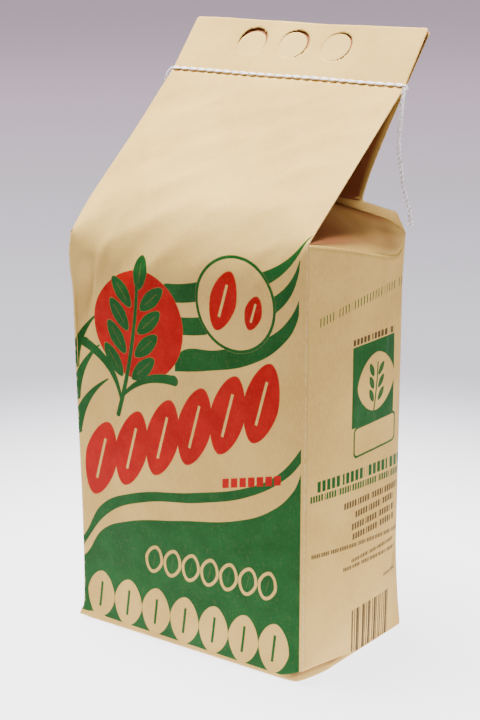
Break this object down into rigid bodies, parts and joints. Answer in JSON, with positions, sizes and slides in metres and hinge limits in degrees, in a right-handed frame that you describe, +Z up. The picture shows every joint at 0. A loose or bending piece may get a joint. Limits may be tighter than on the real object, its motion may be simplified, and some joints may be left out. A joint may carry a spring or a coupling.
{
  "type": "bag of flour",
  "caption": "Upright block-bottom kraft paper bag filled with flour, its top leaning back into a flat fin closed by a cotton chain stitch.",
  "frame": {"origin": "middle of the base, on the surface the bag stands on", "axes": "+Z up, the printed front faces -Y, +X to the right as seen from the front"},
  "size_m": [0.2282, 0.1534, 0.4358],
  "materials": {
    "kraft_paper": "matt brown kraft paper with printed fields of green and red",
    "cotton_thread": "matt white twisted cotton"
  },
  "bodies": {
    "root": {"bag": "kraft_paper", "seam_thread": "cotton_thread", "thread_tail": "cotton_thread"}
  },
  "joints": []
}
